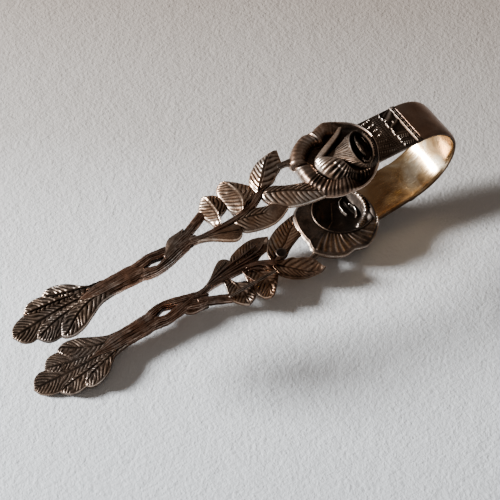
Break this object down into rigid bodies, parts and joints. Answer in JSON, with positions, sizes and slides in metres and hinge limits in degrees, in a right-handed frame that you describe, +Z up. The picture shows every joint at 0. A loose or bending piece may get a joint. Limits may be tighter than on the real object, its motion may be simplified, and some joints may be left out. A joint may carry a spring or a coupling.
{
  "type": "ice tongs",
  "caption": "Small spring tongs for sugar or ice: two openwork arms of roses, leaves and leafy claws on one sprung metal bow.",
  "frame": {"origin": "under the middle of the tongs, on the table they lie on", "axes": "+X along the length from the claws to the bow, +Y across the strap, +Z up; the tongs lie on their lower arm"},
  "size_m": [0.1112, 0.0204, 0.0333],
  "materials": {
    "cast_arm": "cast silver, oxidised dark brown in the recesses and worn bright on the high ribs",
    "strap": "silver strip with engraved pattern, dark in the grooves, satin and lightly scratched",
    "bow": "silver spring strip, satin outside and polished inside, lightly scratched"
  },
  "bodies": {
    "lower_arm": {"lower_bract": "cast_arm", "lower_bud": "cast_arm", "lower_cast_pad": "cast_arm", "lower_claw_leaf_far_inner": "cast_arm", "lower_claw_leaf_far_outer": "cast_arm", "lower_claw_leaf_near_inner": "cast_arm", "lower_claw_leaf_near_outer": "cast_arm", "lower_claw_leaf_tip": "cast_arm", "lower_far_twig": "cast_arm", "lower_long_leaf": "cast_arm", "lower_rose_bud_petals": "cast_arm", "lower_rose_folded_petal": "cast_arm", "lower_rose_heart": "cast_arm", "lower_rose_outer_petals": "cast_arm", "lower_rose_twig": "cast_arm", "lower_shoulder_leaf": "cast_arm", "lower_small_leaf": "cast_arm", "lower_stem": "cast_arm", "lower_strap": "strap", "lower_strap_bar": "strap", "lower_under_leaf": "cast_arm", "lower_upright_leaf": "cast_arm", "lower_vine": "cast_arm", "bow_spring": "bow"},
    "upper_arm": {"upper_bract": "cast_arm", "upper_bud": "cast_arm", "upper_cast_pad": "cast_arm", "upper_claw_leaf_far_inner": "cast_arm", "upper_claw_leaf_far_outer": "cast_arm", "upper_claw_leaf_near_inner": "cast_arm", "upper_claw_leaf_near_outer": "cast_arm", "upper_claw_leaf_tip": "cast_arm", "upper_far_twig": "cast_arm", "upper_long_leaf": "cast_arm", "upper_rose_bud_petals": "cast_arm", "upper_rose_folded_petal": "cast_arm", "upper_rose_heart": "cast_arm", "upper_rose_outer_petals": "cast_arm", "upper_rose_twig": "cast_arm", "upper_shoulder_leaf": "cast_arm", "upper_small_leaf": "cast_arm", "upper_stem": "cast_arm", "upper_strap": "strap", "upper_strap_bar": "strap", "upper_under_leaf": "cast_arm", "upper_upright_leaf": "cast_arm", "upper_vine": "cast_arm"}
  },
  "joints": [
    {"name": "squeeze", "type": "hinge", "parent": "lower_arm", "child": "upper_arm", "pos_m": [0.05078, 0, 0.01837], "axis": [0, -1, 0], "range_deg": [-2, 7.5], "stiffness_Nm_per_rad": 3, "deforming": ["bow_spring"]}
  ]
}
